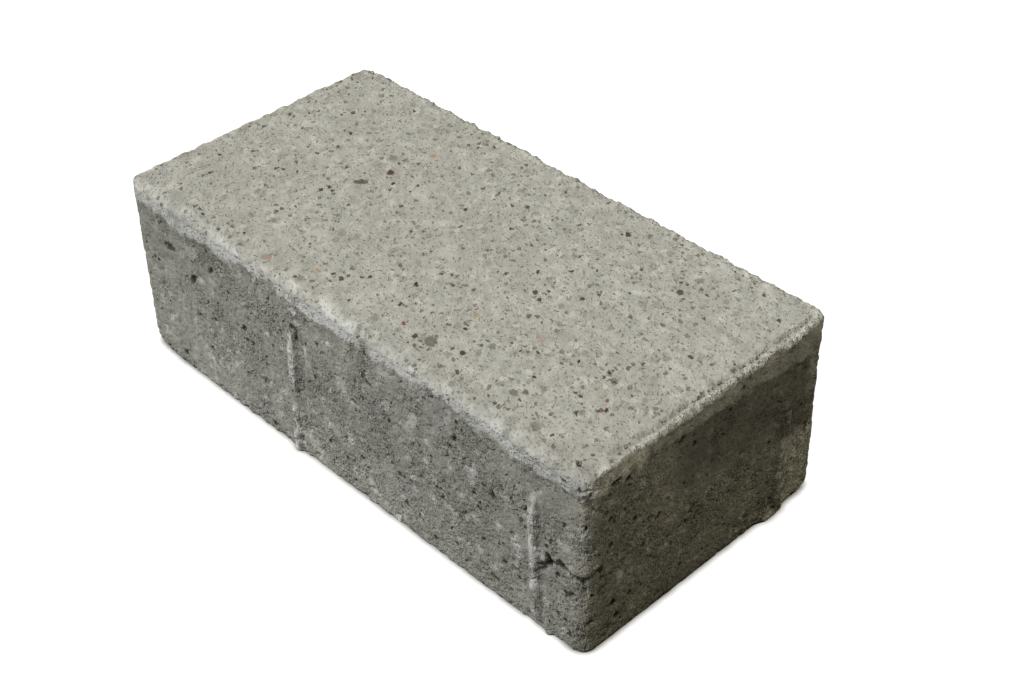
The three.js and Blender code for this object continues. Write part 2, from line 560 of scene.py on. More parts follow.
# Grains that show by their colour: along, up, radius and colour.
SPOTS = {
    TOP: (
        (-46.4, 0.0, 1.0, (0.109, 0.109, 0.105)), (-45.4, 1.0, 1.1, (0.101, 0.101, 0.0966)),
        (-44.4, 2.1, 0.9, (0.126, 0.126, 0.118)), (-42.7, 10.9, 1.3, (0.084, 0.042, 0.0378)),
        (-37.5, 7.2, 0.6, COAL), (-31.2, 11.9, 0.6, COAL), (-54.9, 2.9, 0.6, COAL),
        (-50.3, -7.9, 0.7, (0.0336, 0.0336, 0.0294)), (63.8, -15.5, 0.7, COAL),
        (-40.4, 27.1, 0.9, (0.41, 0.28, 0.19)), (-34.2, -44.3, 1.2, (0.37, 0.272, 0.235)),
        (50.3, -16.1, 1.1, (0.40, 0.325, 0.285)), (-18.8, -38.8, 1.1, (0.41, 0.335, 0.275)),
        (18.0, -37.5, 0.7, (0.185, 0.0756, 0.0588)), (80.6, -21.7, 0.7, (0.235, 0.101, 0.0756)),
        (82.0, -25.8, 0.8, (0.143, 0.0924, 0.0714)), (83.0, -24.8, 0.7, (0.0336, 0.0294, 0.0252)),
        (29.2, -37.7, 1.9, (0.17, 0.155, 0.14)), (30.4, -24.9, 1.1, (0.11, 0.105, 0.085)),
        (33.6, -1.5, 0.9, BASALT), (84.2, 7.3, 0.9, BASALT), (32.9, 38.1, 0.9, BASALT),
        (6.7, -22.8, 0.8, DARK_BASALT), (24.4, -39.0, 0.8, BASALT),
        (38.9, -34.9, 0.8, MID_BASALT), (27.2, 5.8, 0.8, MID_BASALT), (-10.8, -36.3, 0.8, BASALT),
        (62.9, 27.5, 1.1, (0.07, 0.068, 0.055)), (10.7, -32.4, 0.7, DARK_BASALT),
        (29.2, -20.6, 1.0, (0.38, 0.32, 0.235)), (60.7, -36.9, 1.1, (0.185, 0.185, 0.168)),
        (76.6, -14.6, 1.2, (0.202, 0.202, 0.185)), (42.7, -27.3, 1.1, (0.21, 0.21, 0.189)),
        (57.3, -28.0, 1.0, QUARTZ), (54.5, -35.0, 0.9, QUARTZ), (76.2, -18.0, 0.9, QUARTZ),
    ),
    RIGHT: (
        (-38.9, 1.6, 1.0, LIMESTONE), (31.6, 0.9, 0.9, LIMESTONE),
    ),
    FRONT: (
        (81.2, 47.6, 1.9, (0.40, 0.396, 0.36)), (81.0, 37.0, 1.4, (0.39, 0.386, 0.35)),
        (21.7, 43.4, 1.7, PALE_PATCH), (33.2, 45.4, 1.8, PALE_PATCH),
        (33.0, 43.2, 1.5, PALE_PATCH), (-68.2, 50.6, 2.2, DULL_PATCH),
        (-90.0, 21.2, 1.4, DULL_PATCH),
    ),
}

# How far inside the solid's box a grain's centre lies, from the top and the sides.
BELOW_TOP, BEHIND_SIDE = 0.15, 1.5

# Slant along which the grain of the concrete is drawn out, and by how much.
SLANT = np.array((0.564, -0.544, 0.621))
SQUEEZE = 0.4


def squeezed(points):
    """Points pressed together along the slant, so that patterns on them stretch."""
    return points - SQUEEZE * (points @ SLANT)[:, None] * SLANT


# ---- Relief ----------------------------------------------------------------

# Values of the layer field on the wearing face, and where its rim crumbles most.
WEARING_LAYER = 8.0
CRUMBLED_LAYER = 6.6

# Stretches that draw a pattern out upwards, from slightly to almost a line.
TALL = (1.0, 1.0, 0.55)
STREAKED = (1.0, 1.0, 0.2)
DRAGGED = (1.0, 1.0, 0.06)


class Relief:
    """Pushes the points of a lattice block in and out, feature by feature, in mm.

    out is along the ground away from the stone and up is away from the bed. Each
    counts in full on its own faces and fades out just past their edges. pore tells
    how dark each point is painted: painted shade in hollows, pores, creases and
    cracks, and dirt on the flash. The features build on those before them.
    """

    EDGE_REACH = 4.0  # over which a face's relief fades out past its edge
    DEEPEST = -4.0
    BED_HOLLOWS = 0.3

    def __init__(self, block, noise, roughness):
        self.block = block
        self.noise = noise
        self.roughness = roughness
        count = len(block.plan)
        at_top = np.column_stack([block.plan, np.full(count, HEIGHT)])
        wear = 1.0 + 0.35 * noise.layered(at_top, 9.0)
        self.drop = block.by_side(*ARRIS_DROP) * np.clip(wear, 0.4, 2.0)
        part = np.clip(1.0 - block.inset / block.by_side(*ARRIS_INSET), 0.0, 1.0)
        rounded = HEIGHT - self.drop * (1.0 - np.sqrt(1.0 - part**2))
        stretched = block.height / block.height.max() * (HEIGHT - self.drop)
        self.z = np.where(block.on_top, rounded, stretched)
        self.place = np.column_stack([block.plan, self.z])
        self.grain = squeezed(self.place)
        self.on_front, self.on_right = block.side == FRONT, block.side == RIGHT
        # Places to the right of the front right corner, or left of it if below 0
        past = np.where(self.on_front, block.along - block.half[0], block.along + block.half[1])
        self.past_corner = past
        self.out, self.up, self.pore = np.zeros(count), np.zeros(count), np.zeros(count)
        # Patterns that several features share
        self.crumbs = self.mottle(1.5, 11.0)
        self.clusters = self.mottle(13.0, 60.0)
        self.drags = self.mottle(2.2, 80.0, stretch=DRAGGED)
        self.warp = np.column_stack([noise.smooth(self.grain * 0.7 + at) for at in (3.0, 31.0)])
        self.edge = self.face_mix_edge()

    def mottle(self, size, shift=0.0, layers=2, stretch=1.0):
        """Noise over the stone; each shift gives another pattern."""
        return self.noise.layered(self.place * stretch + shift, size, layers)

    def slanted_mottle(self, size, shift=0.0, layers=2, stretch=1.0):
        """Noise drawn out along the slant of the grain."""
        return self.noise.layered(self.grain * stretch + shift, size, layers)

    def paint_shade_and_dirt(self, darkness):
        """Paints darkness where there is less of it so far: painted shade, or dirt on the flash."""
        self.pore = np.maximum(self.pore, darkness)

    def face_mix_edge(self):
        """Height of the lower edge of the face mix at each point's side."""
        block = self.block
        edge = np.full(len(self.z), PLAIN_MIX_EDGE)
        for side, pairs in FACE_MIX_EDGE.items():
            edge = np.where(block.side == side, profile(pairs, block.along), edge)
        at_bed = np.column_stack([block.plan, np.zeros(len(self.z))])
        return edge + 0.5 * self.noise.layered(at_bed, 5.0)

    def add_unevenness(self):
        """Lumps, creases and sandy grain of all faces, with drag marks down the sides."""
        lumps = 0.24 * self.slanted_mottle(4.6) + 0.18 * self.slanted_mottle(1.7, 40.0)
        seam = self.slanted_mottle(2.6, 120.0, stretch=(0.7, 0.7, 1.0))
        crease = 1.0 - fade(0.02, 0.16, np.abs(seam))
        crease = crease * fade(0.15, 0.5, self.slanted_mottle(3.0, 140.0)) * (self.edge > self.z)
        coarseness = self.roughness * self.block.by_side(1.0, 1.0, 0.75, 0.75)
        self.out += coarseness * (lumps + 0.10 * self.drags - 0.45 * crease)
        # Painted shade in the creases of the side faces.
        self.paint_shade_and_dirt(0.4 * crease * ~self.block.on_top)
        waves = 0.08 * self.mottle(26.0)
        sand = 0.05 * self.mottle(2.6, 90.0)
        self.up += self.roughness * (waves + sand) - 0.26

    def add_layer_step(self):
        """Backing that shrank a little behind the lower edge of the face mix."""
        step = plateau(-0.4, 1.2, 2.0, 9.0, self.edge - self.z)
        strength = self.block.by_side(0.15, 0.45, 0.3, 0.3)
        patchy = np.clip(0.6 + 0.9 * self.mottle(9.0, stretch=STREAKED), 0.0, 1.6)
        self.out -= strength * patchy * step

    def add_lap(self):
        """Fold round the front right corner: a drooping lip over a recess."""
        past = self.past_corner
        near = (self.on_front | self.on_right) & self.block.on_side
        strength = near * plateau(*LAP_ENDS, past)
        lip = profile(LAP_LIP, past) + 0.3 * self.mottle(2.5)
        above = self.z - lip
        over_curl = np.clip(above - LAP_CURL, 0.0, None)
        curl = np.clip(above / LAP_CURL, 0.0, 1.0)
        bulge = LAP_PROUD * np.sqrt(1.0 - (1.0 - curl) ** 2) * np.exp(-over_curl / 4.0)
        recess = -LAP_RECESS * np.exp(np.clip(above, None, 0.0) / 6.0)
        middle, half_width, depth = LAP_GROOVE
        groove = np.exp(-(((above - middle) / half_width) ** 2))
        self.out += strength * np.where(above > 0, bulge, recess - depth * groove)
        droop = -LAP_DROOP * np.exp(-np.clip(above, 0.0, None) / 1.6) * (above > 0)
        self.z = self.z + strength * droop
        # Painted shadow in the crack under the lip, torn into pieces at its left end.
        crack = np.clip(1.7 + 0.8 * self.mottle(2.4, 150.0), 0.0, 2.4)
        torn = fade(-0.25, 0.25, self.slanted_mottle(1.7, 230.0))
        crack = crack * np.clip(2.2 * strength, 0.0, 1.0)
        crack = crack * np.where(past < LAP_TORN_FROM, torn, 1.0)
        self.paint_shade_and_dirt(crack * (above < 0) * (1.0 - fade(2.7, 3.4, -above)))
        crumbly = near * hump(-11.5, 10.0, past) * hump(28.0, 9.0, self.z)
        chunks = self.slanted_mottle(1.9, 200.0, layers=3)
        self.out += 1.2 * crumbly * chunks
        # Painted shade where the crumbly chunks are pushed in.
        self.paint_shade_and_dirt(0.9 * crumbly * fade(0.25, 0.55, -chunks))

    def add_rims(self):
        """Crumbly rims and the tamper groove round the wearing face."""
        block, crumbs, y = self.block, self.crumbs, self.place[:, 1]
        sharp = block.by_side(0.0, 1.0, 0.9, 0.6)
        chipping = self.mottle(11.0, 7.0)
        inset = block.inset + 0.6 * self.mottle(5.0, 15.0)
        groove = block.by_side(0.0, 1.0, 0.0, 0.3) * hump(*GROOVE, inset)
        groove = groove * (fade(-1.1, -0.1, chipping) * block.on_top)
        groove = groove * (0.45 + 0.55 * fade(-44.0, -16.0, y))
        rim = hump(*RIM, inset) * block.on_top
        crumbly = 0.34 + 0.34 * fade(-26.0, 8.0, y)
        self.up += sharp * rim * (crumbly * crumbs + RIM_LIFT)
        self.up -= GROOVE_DEPTH * groove * (1.0 + 0.6 * crumbs)
        lip = block.by_side(0.0, 0.9, 0.1, 0.1) * fade(-0.8, 0.5, chipping)
        lip = lip * fade(0.0, 9.0, block.half[1] - y)
        calm = fade(2.0, 12.0, block.from_corner(BACK_RIGHT))
        ragged = hump(HEIGHT - 0.8, 2.4, self.z) * block.on_side
        self.out += sharp * ragged * (0.36 * calm * self.mottle(2.4, 13.0) + lip)
        lumps = calm * block.by_side(0.0, 0.0, 1.0, 0.6) * self.mottle(4.2, 19.0)
        self.out += 0.6 * lumps * hump(HEIGHT - 0.5, 3.5, self.z) * block.on_side
        self.up += 0.7 * lumps * hump(0.5, 2.6, inset) * block.on_top
        band = block.near_corner(FRONT_RIGHT, 10.0) * hump(HEIGHT - 4.0, 6.0, self.z)
        band = band * block.on_side
        self.out += 0.6 * band * crumbs
        # Painted shade in the tamper groove and where the crumbly corner band is pushed in.
        self.paint_shade_and_dirt(np.maximum(0.7 * groove, 0.8 * band) * np.clip(-1.6 * crumbs, 0.0, 1.0))
        self.groove = groove
        crest = np.clip(0.65 + 1.4 * crumbly * crumbs, 0.0, 1.0)
        self.rim_crest = block.by_side(0.0, 1.0, 0.3, 0.3) * rim * crest
        crumbled = np.maximum(groove, block.by_side(0.0, 1.0, 0.5, 0.5) * rim)
        self.crumbled = crumbled * 1.45 * crumbly

    def add_foot(self):
        """Ragged foot, rounded at its worn corners and broken beside one rib."""
        block = self.block
        at_back_right = block.near_corner(BACK_RIGHT, 11.0)
        self.out += 0.6 * at_back_right * (1.0 - fade(10.0, 45.0, self.z)) * block.on_side
        radius = FOOT_RADIUS
        for corner, reach, more in FOOT_CORNERS:
            radius = radius + more * block.near_corner(corner, reach)
        broken = profile(FOOT_BREAK, block.along) * self.on_front
        self.out -= broken * (1.0 - fade(0.6, 3.4, self.z))
        near_bed = 1.0 - fade(0.0, 2.0, self.z)
        self.out *= 1.0 - 0.65 * near_bed
        chips = fade(0.35, 0.8, self.mottle(5.0, 21.0))
        chipped = block.by_side(0.3, 0.0, 0.3, 0.3) * chips * near_bed
        foot = np.clip(1.0 - self.z / radius, 0.0, 1.0)
        self.out -= 0.5 * radius * (1.0 - np.sqrt(1.0 - foot**2)) + chipped
        self.out += block.by_side(0.55, 0.10, 0.3, 0.3) * self.mottle(2.2, 33.0) * near_bed

    def add_ribs(self):
        """Half-round spacer ribs, each with a sloping tip, and the flash at their feet."""
        along, z = self.block.along, self.z
        wander = 0.5 * self.mottle(9.0, 5.0, stretch=(0.2, 0.2, 1.0))
        wear = 1.0 + 0.4 * self.mottle(6.0)
        height = np.zeros(len(z))
        for rib in RIBS:
            across = along - rib.along - rib.lean * z - wander
            part = np.clip(across / np.where(across < 0, rib.left, rib.right), -1.0, 1.0)
            ends = plateau(-1.0, rib.foot, rib.tip - RIB_RUN_OUT, rib.tip, z)
            bar = rib.proud * wear * ends * (1.0 - fade(0.25, 1.0, np.abs(part)))
            height = np.where(self.block.side == rib.face, np.maximum(height, bar), height)
        for flash in FLASHES:
            here = self.block.side == flash.face
            spread = hump(flash.along, flash.reach, along) * (1.0 - fade(0.0, flash.height, z))
            self.paint_shade_and_dirt(flash.darkness * spread * here)
            bulge = flash.proud * np.minimum(1.0, 1.6 * spread)
            height = np.where(here, np.maximum(height, bulge), height)
        furrow = hump(*FURROW, along - RIBS[0].lean * z - wander) * self.on_front
        furrow = furrow * plateau(6.0, 14.0, 46.0, 52.0, z)
        self.out += height - 0.55 * wear * furrow
        # Painted shade, speckled, in the furrow.
        speckled = np.clip(0.35 + 0.8 * self.slanted_mottle(1.6, 170.0), 0.0, 1.0)
        self.paint_shade_and_dirt(0.6 * furrow * speckled)
        # Pale crest of the ribs: lime bloom and painted highlight where the crest catches the lamp.
        self.rib_crest_bloom_and_highlight = fade(0.5, 1.25, height) * np.clip(0.75 + self.mottle(3.0), 0.0, 1.0)

    def add_pores(self):
        """Scattered pores: small ones on the wearing face, larger on the sides."""
        block, pits, clusters = self.block, self.noise.pits, self.clusters
        beside = block.on_side & ~block.on_top
        slanted = self.place[:, 2] + 0.3 * np.abs(block.round_stone - block.half[0])
        unrolled = np.column_stack([block.round_stone, slanted])
        sheet = np.where(beside[:, None], unrolled, self.grain[:, :2]) + 0.7 * self.warp
        share = 0.05 + 0.13 * fade(-0.1, 0.6, clusters)
        big = pits(sheet * (0.9, 1.1), *BIG_PORE, share)
        share = 0.10 + 0.40 * fade(-0.3, 0.5, clusters)
        small = pits(sheet * (0.85, 1.15) + 50.0, *SMALL_PORE, share)
        fine = pits(sheet + 25.0, *FINE_PORE, 0.16)
        backing = fade(-0.5, 0.8, self.edge - self.z)
        amount = (0.3 + 0.7 * backing) * block.by_side(1.0, 1.0, 0.8, 0.8)
        self.out -= amount * (BIG_DEPTH * big + SMALL_DEPTH * small)
        self.up -= FINE_DEPTH * fine
        # Painted shade in the pores.
        scattered = amount * np.maximum(0.75 * big, 0.45 * small)
        self.paint_shade_and_dirt(np.where(beside, scattered, 0.9 * fine))

    def add_hollows(self):
        """The larger hollows, one by one."""
        block = self.block
        for face, rows in HOLLOWS.items():
            on_top = face == TOP
            here = block.on_top if on_top else block.side == face
            across, up = self.place[:, :2].T if on_top else (block.along, self.z)
            push = self.up if on_top else self.out  # changed in place
            for hollow in itertools.starmap(Hollow, rows):
                turn = np.radians(hollow.turn)
                right = across - hollow.along + 0.7 * self.warp[:, 0]
                above = up - hollow.up + 0.7 * self.warp[:, 1]
                long_way = right * np.cos(turn) + above * np.sin(turn)
                short_way = above * np.cos(turn) - right * np.sin(turn)
                part = np.hypot(long_way / hollow.half_width, short_way / hollow.half_height)
                push -= hollow.depth * here * (1.0 - fade(0.25, 1.25, part))
                # Painted shade in the hollow.
                self.paint_shade_and_dirt(0.85 * here * (1.0 - fade(0.5, 1.2, part)))

    def add_skins(self):
        """Damp and dry areas of the right face, and where the skin closed up."""
        along, above_edge = self.block.along, self.z - self.edge
        streaky = 3.0 * self.mottle(2.6, 9.0, stretch=(1.0, 1.0, 0.04))
        low, high = (height + DAMP_SLOPE * along for height in DAMP_FOOT)
        damp = plateau(*DAMP_ALONG, along) * self.on_right * fade(low, high, self.z + streaky)
        self.damp = damp * fade(-0.3, 0.5, -above_edge)
        dry = fade(*DRY_ALONG, along + 0.3 * streaky) * (1.0 - fade(*DRY_TOP, self.z))
        self.dry = dry * self.on_right
        skin = hump(-5.5, 7.0, above_edge) * fade(-0.3, 0.5, self.mottle(12.0, 27.0))
        self.front_skin = skin * self.on_front
        far_end = (1.0 - fade(-85.0, -30.0, along)) * self.on_front
        closed = np.maximum(0.5 * (skin + self.front_skin), 0.75 * far_end)
        self.closed = np.maximum(self.damp, closed)

    def build(self):
        """Adds every feature in its order."""
        self.add_unevenness()
        self.add_layer_step()
        self.add_lap()
        self.add_rims()
        self.add_foot()
        self.add_ribs()
        self.add_pores()
        self.add_hollows()
        self.add_skins()

    def points(self):
        """Finished place of every point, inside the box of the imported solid."""
        block = self.block
        past_face = np.clip(1.0 - block.inset / self.EDGE_REACH, 0.0, 1.0)
        from_top = HEIGHT - self.drop - self.z
        past_top = np.clip(1.0 - from_top / self.EDGE_REACH, 0.0, 1.0)
        bed = self.BED_HOLLOWS * np.clip(self.mottle(9.0), 0.0, 1.0)
        lift = np.where(block.on_bed, bed, np.where(block.on_top, 1.0, past_top) * self.up)
        gap = HALF_WIDTH - block.half[1]
        out = np.clip(self.out, self.DEEPEST, gap) * np.where(block.on_side, 1.0, past_face)
        plan = block.plan + block.outward * out[:, None]
        return np.column_stack([plan, np.clip(self.z + lift, 0.0, HEIGHT)])

    def tones(self):
        """Brightness of the concrete by place, 1 for the plain colour, with painted shade in the
        groove, under the face mix and at the foot, and painted light beside the front right corner.
        """
        block, z, along, past = self.block, self.z, self.block.along, self.past_corner
        above_edge = z - self.edge
        on_front, on_right = self.on_front, self.on_right
        patches = self.mottle(17.0, 70.0, stretch=TALL)
        # On the wearing face, painted shade in the tamper groove, and darker near the front right
        # corner.
        above = 1.0 - 0.16 * self.groove - 0.08 * block.near_corner(FRONT_RIGHT, 14.0)
        # Face mix of the right face, a little darker, with painted light beside the front corner
        mix_band = on_right * fade(-0.5, 0.5, above_edge)
        near_front = 1.0 - fade(-42.0, -18.0, along)
        # Painted shade under the lower edge of the face mix, towards the left end of the front
        # face.
        under_band = hump(-2.2, 4.0, above_edge) * (1.0 - fade(-55.0, -25.0, along)) * on_front
        foot_shade = block.by_side(0.08, 0.22, 0.15, 0.15) * (1.0 - fade(0.4, 2.4, z))
        low_front = (1.0 - fade(8.0, 32.0, z)) * hump(0.0, 90.0, along) * on_front
        front_end = fade(74.0, 84.0, along) * on_front
        worn_corner = hump(-0.8, 2.4, past) + 0.3 * hump(-5.0, 4.0, past)
        worn_corner = worn_corner * (on_front | on_right) * plateau(38.0, 46.0, 55.0, 59.0, z)
        factors = (
            1.0 + 0.08 * self.drags,
            1.0 - 0.48 * self.damp,
            1.0 + 0.7 * self.dry,
            1.0 - (0.14 - 0.6 * near_front) * mix_band,
            1.0 - 0.08 * self.front_skin,
            1.0 - 0.2 * under_band,
            1.0 - foot_shade,
            1.0 + 0.11 * on_right,
            1.0 + 0.22 * low_front - 0.07 * front_end,
            1.0 + 0.7 * worn_corner,
        )
        # Duller front rim towards both of its ends
        dull = 1.0 - hump(-10.0, 62.0, self.place[:, 0])
        dull = dull * (1.0 - fade(3.0, 9.0, self.place[:, 1] + block.half[1]))
        dull = dull * np.where(block.on_top, 1.0, fade(-1.0, 1.0, above_edge))
        tone = 1.0 + np.where(block.on_top, 0.03, 0.13) * patches
        tone = tone * np.where(block.on_top, above, np.prod(factors, axis=0))
        return tone * (1.0 - 0.11 * dull)

    def blooms(self):
        """Strength of the white lime bloom along the arris and on rib crests, with painted
        highlight on the rib crests and painted light under the right rim.
        """
        block, on_top = self.block, self.block.on_top
        patchy = 0.75 + 0.5 * self.mottle(7.0, 45.0)
        side = block.by_side(1.0, 0.12, 0.4, 0.4) * patchy
        over = 0.42 * (1.0 - fade(2.6, 5.8, block.inset + self.mottle(4.0)))
        down = np.where(on_top, 1.0, 1.15 * fade(-1.6, 1.0, self.z - self.edge))
        # On the right face the bloom reaches down under the rim, lower towards the front: lime
        # bloom and painted light where the grains under the rim catch the lamp.
        lower = 1.6 * (1.0 - fade(-30.0, 20.0, block.along))
        bloom_and_light_under_rim = fade(HEIGHT - 5.8, HEIGHT - 2.2, self.z + lower + self.crumbs)
        down = np.where(self.on_right, np.maximum(down, 4.5 * bloom_and_light_under_rim), down)
        smears = 0.42 * fade(0.5, 0.8, self.mottle(6.0, 65.0, 3, stretch=(1.0, 1.0, 0.45)))
        others = np.maximum(self.rib_crest_bloom_and_highlight, smears) * ~on_top
        others = np.maximum(others, 0.9 * self.rim_crest)
        return np.clip(np.maximum(side * np.where(on_top, over, 1.0) * down, others), 0.0, 1.0)

    def crowds(self):
        """Share of places with a fine pore, in clusters, fewer where the skin is closed."""
        share = 0.18 + 0.42 * fade(-0.35, 0.55, self.clusters)
        share = share * self.block.by_side(1.0, 1.4, 1.0, 1.0) * (1.0 - 0.7 * self.closed)
        return np.where(self.block.on_top, 0.46 + 0.5 * self.crumbled, share)

    def fields(self):
        """Numbers for each point that the material reads, by name."""
        block = self.block
        crumbled = (WEARING_LAYER - CRUMBLED_LAYER) * self.crumbled
        layer = np.where(block.on_top, WEARING_LAYER - crumbled, self.z - self.edge)
        coarse = np.where(block.on_top, 1.0, block.by_side(1.0, 1.6, 1.2, 1.2))
        return {
            "pore": self.pore,
            "layer": layer,
            "tone": self.tones(),
            "bloom": self.blooms(),
            "crowd": self.crowds(),
            "coarse": coarse,
        }


# ---- Mesh ------------------------------------------------------------------


def quad_mesh(name, points, faces):
    """Mesh from points in mm and four-sided faces."""
    mesh = bpy.data.meshes.new(name)
    mesh.vertices.add(len(points))
    mesh.vertices.foreach_set("co", (points * MM).ravel())
    mesh.loops.add(faces.size)
    mesh.loops.foreach_set("vertex_index", faces.astype(np.int32).ravel())
    mesh.polygons.add(len(faces))
    mesh.polygons.foreach_set("loop_start", np.arange(0, faces.size, 4, dtype=np.int32))
    mesh.update(calc_edges=True)
    return mesh


def store_field(mesh, name, values):
    """Stores one number for each point of a mesh."""
    field = mesh.attributes.new(name, "FLOAT", "POINT")
    field.data.foreach_set("value", values.astype(np.float32))


def read_rows(items, attribute, width, kind=float):
    """One attribute of a mesh's items, as a row of numbers for each item."""
    values = np.empty(len(items) * width, kind)
    items.foreach_get(attribute, values)
    return values.reshape(-1, width)


def thin_mesh(stone, triangle_count):
    """Collapses the flattest edges of an object down to a number of triangles."""
    mesh = stone.data
    triangles = sum(len(face.vertices) - 2 for face in mesh.polygons)
    thinner = stone.modifiers.new("Thin", "DECIMATE")
    thinner.ratio = min(1.0, triangle_count / triangles)
    thinner.use_collapse_triangulate = True
    seen = stone.evaluated_get(bpy.context.evaluated_depsgraph_get())
    thinned = bpy.data.meshes.new_from_object(seen)
    stone.modifiers.clear()
    stone.data = thinned
    bpy.data.meshes.remove(mesh)
    return thinned


def keep_in_box(mesh):
    """Moves points that the thinning pushed out back onto the solid's box."""
    low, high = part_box(NODE)
    inside = np.clip(read_rows(mesh.vertices, "co", 3), low, high)
    mesh.vertices.foreach_set("co", inside.ravel())
    mesh.update()


def lay_charts(mesh):
    """UV map with one flat chart for each of the six faces, at one scale."""
    centres = read_rows(mesh.polygons, "center", 3) / MM
    corners = read_rows(mesh.loops, "vertex_index", 1, np.int32)[:, 0]
    places = read_rows(mesh.vertices, "co", 3)[corners] / MM
    low = np.array([-HALF_LENGTH, -HALF_WIDTH, 0.0])
    high = np.array([HALF_LENGTH, HALF_WIDTH, HEIGHT])
    nearest = np.argmin(np.column_stack([centres - low, high - centres]), axis=1)
    chart = np.repeat(nearest, 3)
    gap = 2.0
    wide_row, upright = 2 * HALF_WIDTH + gap, HEIGHT + gap
    # Chart by nearest face, low x, y, z then high: flat axes and corner on the sheet.
    sheet = (
        (1, 2, gap, 2 * wide_row + 2 * upright),
        (0, 2, gap, 2 * wide_row),
        (0, 1, gap, wide_row),
        (1, 2, gap + wide_row, 2 * wide_row + 2 * upright),
        (0, 2, gap, 2 * wide_row + upright),
        (0, 1, gap, 0.0),
    )
    span = 2 * wide_row + 3 * upright + 2 * gap
    uv = np.empty((len(corners), 2))
    for number, (across, up, left, bottom) in enumerate(sheet):
        here = chart == number
        uv[here, 0] = (places[here, across] - low[across] + left + gap) / span
        uv[here, 1] = (places[here, up] - low[up] + bottom + gap) / span
    layer = mesh.uv_layers.new(name="OFBake")
    layer.data.foreach_set("uv", uv.astype(np.float32).ravel())


# ---- Shader building -------------------------------------------------------


class Graph:
    """Adds and joins the nodes of one tree."""

    def __init__(self, tree):
        self.tree = tree

    def add(self, kind, inputs=None, **settings):
        """Adds a node with its settings, then links or sets its inputs."""
        node = self.tree.nodes.new(kind)
        for name, value in settings.items():
            setattr(node, name, value)
        for name, value in (inputs or {}).items():
            self.feed(node.inputs[name], value)
        return node

    def feed(self, socket, value):
        """Links an output to a socket, or sets the socket's own value."""
        if isinstance(value, bpy.types.NodeSocket):
            self.tree.links.new(value, socket)
        elif socket.type == "RGBA":
            socket.default_value = (*value, 1.0)
        else:
            socket.default_value = value

    def group(self, tree, *values):
        """Places a node group and feeds its inputs in order."""
        node = self.add("ShaderNodeGroup", node_tree=tree)
        for socket, value in zip(node.inputs, values):
            self.feed(socket, value)
        return node.outputs

    def math(self, operation, *values):
        node = self.add("ShaderNodeMath", operation=operation)
        for socket, value in zip(node.inputs, values):
            self.feed(socket, value)
        return node.outputs[0]

    def times(self, first, second):
        return self.math("MULTIPLY", first, second)

    def line(self, value, slope, start):
        """The value times the slope, plus the start."""
        return self.math("MULTIPLY_ADD", value, slope, start)

    def step(self, value, low, high, start=0.0, end=1.0):
        """Soft step from start to end as the value goes from low to high."""
        inputs = {"Value": value, "From Min": low, "From Max": high, "To Min": start, "To Max": end}
        node = self.add("ShaderNodeMapRange", inputs, interpolation_type="SMOOTHSTEP")
        return node.outputs["Result"]

    def vector(self, operation, first, second):
        """Vector maths, where the second value of SCALE is a number."""
        inputs = {0: first, "Scale" if operation == "SCALE" else 1: second}
        outputs = self.add("ShaderNodeVectorMath", inputs, operation=operation).outputs
        return outputs["Value" if operation in ("DOT_PRODUCT", "DISTANCE") else "Vector"]

    def noise(self, position, size, detail=2.0):
        inputs = {"Vector": position, "Scale": 1.0 / size, "Detail": detail}
        return self.add("ShaderNodeTexNoise", inputs, noise_dimensions="3D").outputs[0]

    def blend(self, factor, first, second):
        """Mixes two colours."""
        node = self.add("ShaderNodeMix", data_type="RGBA", clamp_factor=True)
        sockets = (node.inputs["Factor"], *node.inputs[6:8])
        for socket, value in zip(sockets, (factor, first, second)):
            self.feed(socket, value)
        return node.outputs[2]

    def field(self, name):
        return self.add("ShaderNodeAttribute", attribute_name=name).outputs["Fac"]


def new_group(name, inputs, outputs):
    """Graph, given values and results of a new node group.

    Positions and centres are vectors, and everything else is a number.
    """
    tree = bpy.data.node_groups.new(name, "ShaderNodeTree")
    for labels, way in ((inputs, "INPUT"), (outputs, "OUTPUT")):
        for label in labels:
            kind = "NodeSocketVector" if label in ("Position", "Centre") else "NodeSocketFloat"
            tree.interface.new_socket(label, in_out=way, socket_type=kind)
    graph = Graph(tree)
    given = graph.add("NodeGroupInput").outputs
    result = graph.add("NodeGroupOutput").inputs
    return graph, given, result


def scatter_group():
    """Grains or pores scattered one or none to a cell, each with its own tone."""
    inputs = ("Position", "Cell", "Radius", "Share")
    graph, given, result = new_group("Scatter", inputs, ("Mask", "Tone"))
    scale = graph.math("DIVIDE", 1.0, given["Cell"])
    cells = graph.add("ShaderNodeTexVoronoi", {"Vector": given["Position"], "Scale": scale})
    chance = graph.add("ShaderNodeSeparateColor", {"Color": cells.outputs["Color"]}).outputs
    reach = graph.line(chance["Green"], 0.6, 0.4)
    reach = graph.times(reach, graph.times(given["Radius"], scale))
    part = graph.math("DIVIDE", cells.outputs["Distance"], reach)
    shape = graph.step(part, 1.05, 0.6)
    chosen = graph.math("LESS_THAN", chance["Red"], given["Share"])
    graph.feed(result["Mask"], graph.times(shape, chosen))
    graph.feed(result["Tone"], chance["Blue"])
    return graph.tree


def ragged_group():
    """Position shifted by noise, for ragged outlines."""
    inputs = ("Position", "Size", "Amount")
    graph, given, result = new_group("Ragged Position", inputs, ("Position",))
    scale = graph.math("DIVIDE", 1.0, given["Size"])
    inputs = {"Vector": given["Position"], "Scale": scale, "Detail": 1.0}
    noise = graph.add("ShaderNodeTexNoise", inputs).outputs["Color"]
    centred = graph.vector("SUBTRACT", noise, (0.5, 0.5, 0.5))
    shift = graph.vector("SCALE", centred, given["Amount"])
    graph.feed(result["Position"], graph.vector("ADD", given["Position"], shift))
    return graph.tree


